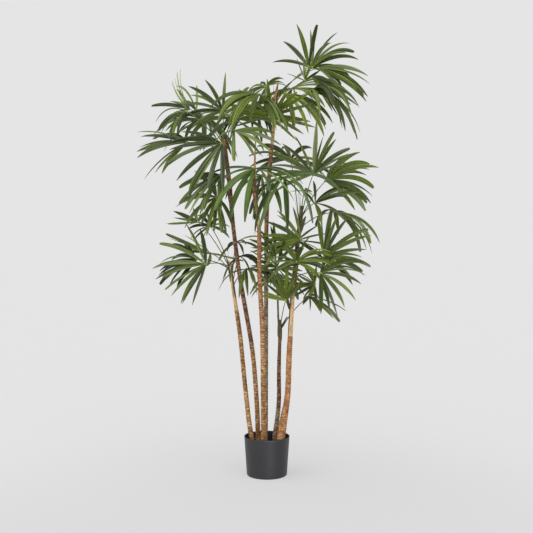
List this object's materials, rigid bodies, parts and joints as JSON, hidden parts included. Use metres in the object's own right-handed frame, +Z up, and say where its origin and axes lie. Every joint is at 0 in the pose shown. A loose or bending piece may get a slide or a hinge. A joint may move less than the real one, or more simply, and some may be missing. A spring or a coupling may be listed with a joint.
{
  "type": "artificial lady palm in a pot",
  "caption": "Artificial lady palm with bark-wound canes and palmate fan leaves on thin stalks, standing in a plain tapered plastic pot.",
  "frame": {"origin": "middle of the pot's flat underside, on the surface that the plant stands on", "axes": "+Z up along the pot's axis; -Y is the side that the picture shows, with +X to its right"},
  "size_m": [0.9763, 0.8672, 1.839],
  "materials": {
    "pot_plastic": "satin moulded",
    "fill_cement": "dark rough cast",
    "cane_bark": "fibrous bark-like wrap",
    "leaf_fabric": "pleated printed leaf cloth"
  },
  "bodies": {
    "root": {"cane_a": "cane_bark", "cane_b": "cane_bark", "cane_c": "cane_bark", "cane_d": "cane_bark", "cane_e": "cane_bark", "cane_e_prong": "cane_bark", "cane_f": "cane_bark", "fill": "fill_cement", "frond_a1": "leaf_fabric", "frond_a2": "leaf_fabric", "frond_a3": "leaf_fabric", "frond_a4": "leaf_fabric", "frond_a5": "leaf_fabric", "frond_a6": "leaf_fabric", "frond_a7": "leaf_fabric", "frond_a8": "leaf_fabric", "frond_b1": "leaf_fabric", "frond_b10": "leaf_fabric", "frond_b11": "leaf_fabric", "frond_b2": "leaf_fabric", "frond_b3": "leaf_fabric", "frond_b4": "leaf_fabric", "frond_b5": "leaf_fabric", "frond_b6": "leaf_fabric", "frond_b7": "leaf_fabric", "frond_b8": "leaf_fabric", "frond_b9": "leaf_fabric", "frond_c1": "leaf_fabric", "frond_c2": "leaf_fabric", "frond_c3": "leaf_fabric", "frond_d1": "leaf_fabric", "frond_d10": "leaf_fabric", "frond_d11": "leaf_fabric", "frond_d12": "leaf_fabric", "frond_d2": "leaf_fabric", "frond_d3": "leaf_fabric", "frond_d4": "leaf_fabric", "frond_d5": "leaf_fabric", "frond_d6": "leaf_fabric", "frond_d7": "leaf_fabric", "frond_d8": "leaf_fabric", "frond_d9": "leaf_fabric", "frond_e1": "leaf_fabric", "frond_e2": "leaf_fabric", "frond_e3": "leaf_fabric", "frond_e4": "leaf_fabric", "frond_e5": "leaf_fabric", "frond_f1": "leaf_fabric", "frond_f10": "leaf_fabric", "frond_f11": "leaf_fabric", "frond_f12": "leaf_fabric", "frond_f2": "leaf_fabric", "frond_f3": "leaf_fabric", "frond_f4": "leaf_fabric", "frond_f5": "leaf_fabric", "frond_f6": "leaf_fabric", "frond_f7": "leaf_fabric", "frond_f8": "leaf_fabric", "frond_f9": "leaf_fabric", "pot": "pot_plastic"}
  },
  "joints": []
}
